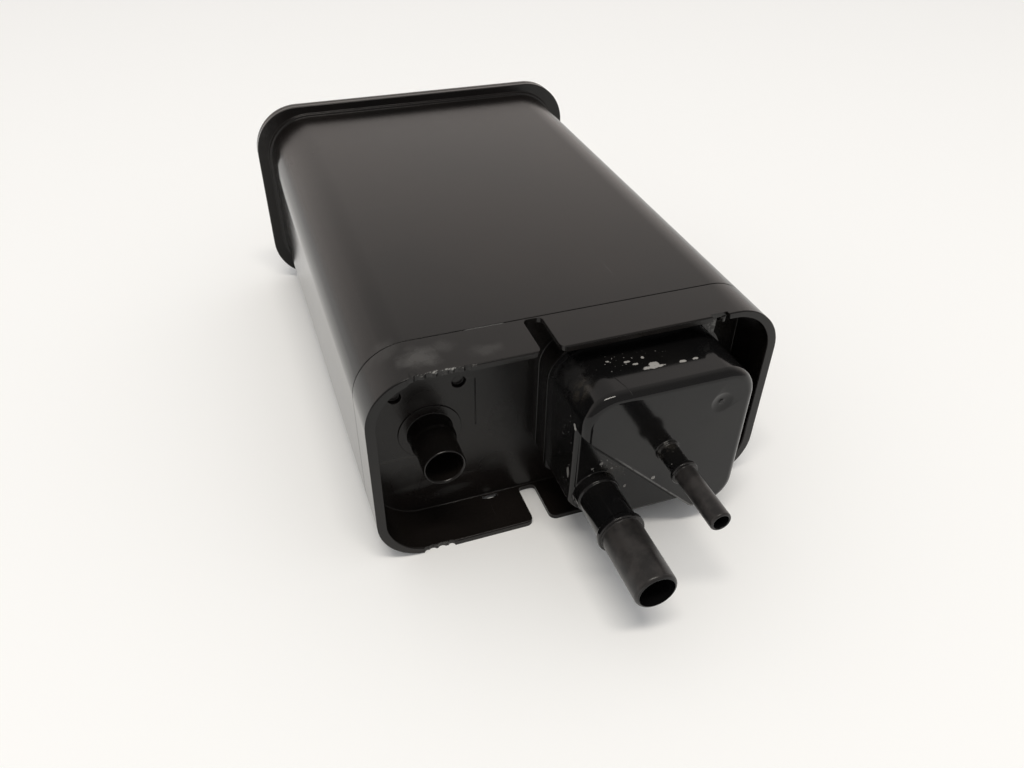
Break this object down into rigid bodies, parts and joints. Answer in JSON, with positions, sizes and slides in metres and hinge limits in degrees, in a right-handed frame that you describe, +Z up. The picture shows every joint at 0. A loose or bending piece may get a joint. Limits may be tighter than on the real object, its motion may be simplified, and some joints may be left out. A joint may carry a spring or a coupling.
{
  "type": "charcoal canister",
  "caption": "Long black moulded fuel vapour canister with an open skirt round the port end, a box-shaped port cover with a large and a small pipe, a vent spigot and a welded base flange.",
  "frame": {"origin": "middle of the bounding box's underside, on the table plane that the rim and the far flange rest on", "axes": "+X to the right seen from the port end, -Y out of the port end (the body's axis tips 1.89 degrees as it lies), +Z up"},
  "size_m": [0.1786, 0.3196, 0.1021],
  "materials": {
    "body_plastic": "semi-matte, scuffed",
    "cover_plastic": "gloss",
    "plate_plastic": "matte",
    "foam": "open foam",
    "carbon": "granular",
    "spring_steel": "drawn wire"
  },
  "bodies": {
    "root": {"canister_body": "body_plastic", "vent_spigot": "body_plastic", "port_cover": "cover_plastic", "base_cover": "body_plastic", "main_carbon_bed": "carbon", "vent_carbon_bed": "carbon", "main_port_screen": "foam", "vent_port_screen": "foam", "main_base_screen": "foam", "vent_base_screen": "foam", "main_pressure_plate": "plate_plastic", "vent_pressure_plate": "plate_plastic", "main_spring_left": "spring_steel", "main_spring_right": "spring_steel", "vent_spring": "spring_steel"}
  },
  "joints": []
}
